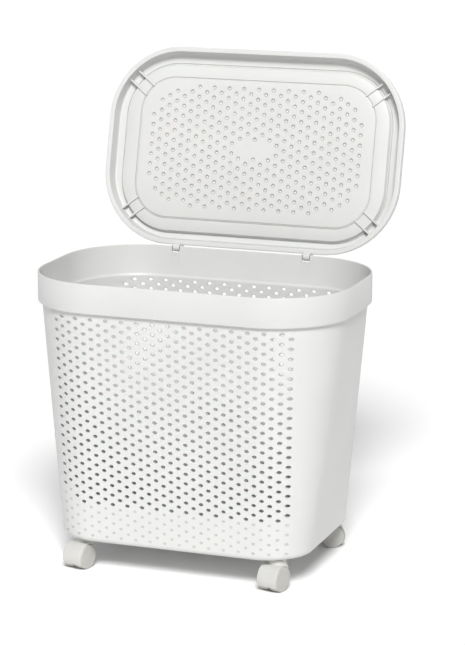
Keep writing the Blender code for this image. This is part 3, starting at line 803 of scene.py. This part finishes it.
def hood():
    """The housing in its own frame: a soft-edged barrel over both wheels with a flared neck to the stem."""
    axle = Matrix.Translation((0, AXLE_TRAIL, WHEEL_R))
    edge = rounded_edge(HOOD_R, HOOD_HALF, HOOD_ROUND)
    barrel = turned([(0, HOOD_HALF)] + edge + [(r, -x) for r, x in reversed(edge)] + [(0, -HOOD_HALF)])
    bmesh.ops.transform(barrel, matrix=axle @ Matrix.Rotation(math.pi / 2, 4, "Y"), verts=barrel.verts)
    neck = turned([(0, NECK[0][1])] + list(NECK) + [(0, NECK[-1][1])])
    cuts = []
    for way in (-1, 1):
        ends = sorted((way * WEB_HALF, way * 2 * HOOD_HALF))
        cuts.append(rod(HOOD_CAVITY_R, *ends, AXLE_TRAIL, WHEEL_R, steps=WHEEL_STEPS))
    opening = box((-2 * HOOD_HALF, -2 * HOOD_R, -3 * HOOD_R), (2 * HOOD_HALF, 2 * HOOD_R, -HOOD_CUT))
    lean = Matrix.Rotation(math.radians(-HOOD_CUT_DEG), 4, "X")
    bmesh.ops.transform(opening, matrix=axle @ lean, verts=opening.verts)
    cuts += [opening, rod(AXLE_R + FIT, -HOOD_HALF, HOOD_HALF, AXLE_TRAIL, WHEEL_R)]
    bore = turned([(0, TURRET_BORE), (STEM_R + FIT, TURRET_BORE), (STEM_R + FIT, BASE_Z), (0, BASE_Z)])
    return booleaned(barrel, cuts=cuts + [bore], joins=[neck])


def wheel(way):
    """A wheel on the axle at the origin: a plain flat face outside and softly rounded treads."""
    inner = [(AXLE_R + FIT, AXLE_HALF + FIT), (AXLE_R + FIT, WHEEL_INNER)]
    tread = rounded_edge(WHEEL_R, WHEEL_OUTER, WHEEL_ROUND)
    back = [(WHEEL_R - 1 * MM, WHEEL_INNER), (WHEEL_R - 0.3 * MM, WHEEL_INNER + 0.3 * MM),
            (WHEEL_R, WHEEL_INNER + 1 * MM)]
    outline = [(0, AXLE_HALF + FIT)] + inner + back + tread[::-1] + [(0, WHEEL_OUTER)]
    bm = turned(outline, steps=WHEEL_STEPS)
    bmesh.ops.transform(bm, matrix=Matrix.Rotation(way * math.pi / 2, 4, "Y"), verts=bm.verts)
    return bm


def make_casters():
    """Hoods and wheels as pieces of their own; the small hidden solids keep theirs, with a finish."""
    for name, (sx, sy, turn) in CASTERS.items():
        stand = Matrix.Translation((sx * STEM_X, TUB_Y + sy * STEM_Y, 0))
        place = stand @ Matrix.Rotation(math.radians(turn), 4, "Z")
        bm = hood()
        bmesh.ops.transform(bm, matrix=place, verts=bm.verts)
        add_piece(f"{name}_housing", bm, (CASTER_WHITE,), name, f"{name}_hood")
        for side, way in (("left", -1), ("right", 1)):
            bm = wheel(way)
            axle = place @ Matrix.Translation((0, AXLE_TRAIL, WHEEL_R))
            bmesh.ops.transform(bm, matrix=axle, verts=bm.verts)
            node_name = f"{name}_wheel_{side}"
            add_piece(f"{name}_roller_{side}", bm, (SHADED_WHEEL_NYLON,), node_name, node_name)
        for part in ("stem", "grip_ring", "axle", "socket"):
            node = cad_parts[f"{name}_{part}"]
            node.data.materials.clear()
            node.data.materials.append(CASTER_WHITE if part == "socket" else STEEL)


# ---------------------------------------------------------------- studio
def make_floor():
    """A pale floor that curves up far away, so that it fills every view."""
    bm = bmesh.new()
    profile = [(0.0, 0.0), (FLOOR_FLAT, 0.0)]
    profile += [(FLOOR_FLAT + FLOOR_CURVE * math.sin(a), FLOOR_CURVE * (1 - math.cos(a)))
                for a in (math.radians(10 * step) for step in range(1, 8))]
    verts = [bm.verts.new((r, 0, z)) for r, z in profile]
    edges = [bm.edges.new(pair) for pair in zip(verts, verts[1:])]
    bmesh.ops.spin(bm, geom=verts + edges, axis=(0, 0, 1), cent=(0, 0, 0), angle=math.tau, steps=96,
                   use_merge=True)
    bmesh.ops.remove_doubles(bm, verts=bm.verts, dist=1e-6)
    bmesh.ops.recalc_face_normals(bm, faces=bm.faces)
    mesh = bpy.data.meshes.new("studio_floor")
    bm.to_mesh(mesh)
    bm.free()
    mesh.shade_smooth()
    material = bpy.data.materials.new("studio_paper")
    material.use_nodes = True
    shader = material.node_tree.nodes["Principled BSDF"]
    shader.inputs["Base Color"].default_value = (0.97, 0.97, 0.97, 1)
    shader.inputs["Roughness"].default_value = 0.9
    shader.inputs["Specular IOR Level"].default_value = 0.1
    mesh.materials.append(material)
    floor = bpy.data.objects.new("studio_floor", mesh)
    bpy.context.scene.collection.objects.link(floor)


def add_sun(name, azimuth, elevation, strength, spread):
    light = bpy.data.lights.new(name, "SUN")
    light.energy = strength
    light.angle = math.radians(spread)
    obj = bpy.data.objects.new(name, light)
    a, e = math.radians(azimuth), math.radians(elevation)
    source = Vector((math.sin(a) * math.cos(e), -math.cos(a) * math.cos(e), math.sin(e)))
    obj.rotation_mode = "QUATERNION"
    obj.rotation_quaternion = source.to_track_quat("Z", "Y")
    bpy.context.scene.collection.objects.link(obj)


def make_studio():
    scene = bpy.context.scene
    scene.view_settings.view_transform = "Standard"
    world = bpy.data.worlds.new("studio")
    scene.world = world
    world.use_nodes = True
    world.node_tree.nodes["Background"].inputs["Color"].default_value = (0.985, 1.0, 0.99, 1)
    world.node_tree.nodes["Background"].inputs["Strength"].default_value = 0.08
    add_sun("key", azimuth=21.5, elevation=44, strength=3.55, spread=20)
    add_sun("front", azimuth=20, elevation=12, strength=0.5, spread=60)
    add_sun("back", azimuth=205, elevation=45, strength=0.5, spread=60)
    make_floor()

    camera = bpy.data.cameras.new("camera")
    camera.lens = CAMERA_LENS
    camera.clip_end = 100
    obj = bpy.data.objects.new("camera", camera)
    a, e = math.radians(CAMERA_AZIMUTH), math.radians(CAMERA_ELEVATION)
    back = Vector((math.sin(a) * math.cos(e), -math.cos(a) * math.cos(e), math.sin(e)))
    obj.location = CAMERA_AIM + back * CAMERA_DISTANCE
    obj.rotation_euler = (math.pi / 2 - e, 0, a)
    scene.collection.objects.link(obj)
    scene.camera = obj


make_tub()
make_lid()
make_casters()
make_studio()
